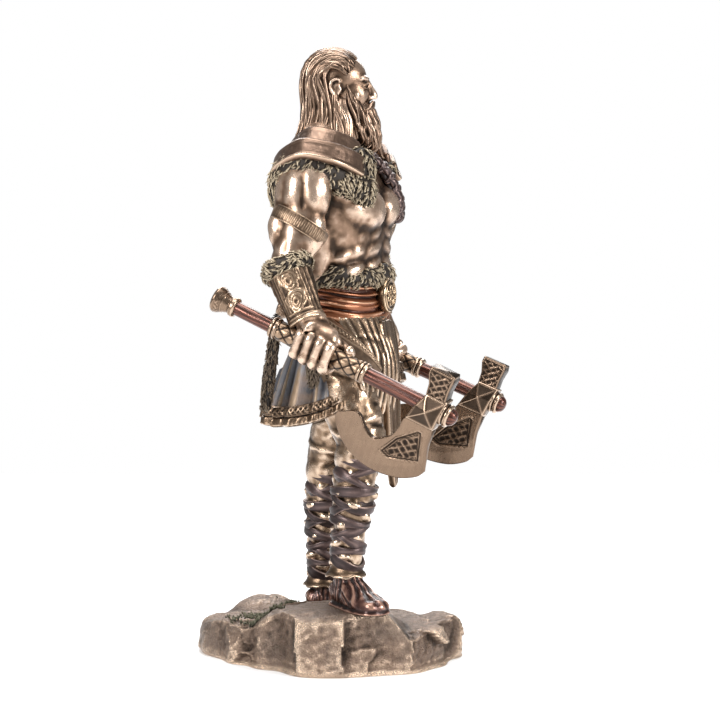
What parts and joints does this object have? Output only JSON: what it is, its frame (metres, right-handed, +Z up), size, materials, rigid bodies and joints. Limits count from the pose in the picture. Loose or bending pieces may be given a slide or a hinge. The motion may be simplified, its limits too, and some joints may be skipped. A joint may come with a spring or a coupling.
{
  "type": "viking warrior statue",
  "caption": "Standing bearded warrior in furs and a flared skirt with an axe in each fist, on a broken rock base.",
  "frame": {"origin": "on the rock's flat underside, below the middle of the figure's trunk", "axes": "+Z up, the figure faces -Y, its left hand is at +X and its right hand at -X"},
  "size_m": [0.1303, 0.1438, 0.2783],
  "materials": {
    "figure_bronze": "satin antique bronze with dark recesses",
    "axe_bronze": "satin antique bronze, hafts painted red-brown",
    "rock_bronze": "matt bronze-brown with lighter edges"
  },
  "bodies": {
    "root": {"rock_base": "rock_bronze", "warrior": "figure_bronze", "right_axe": "axe_bronze", "left_axe": "axe_bronze"}
  },
  "joints": []
}
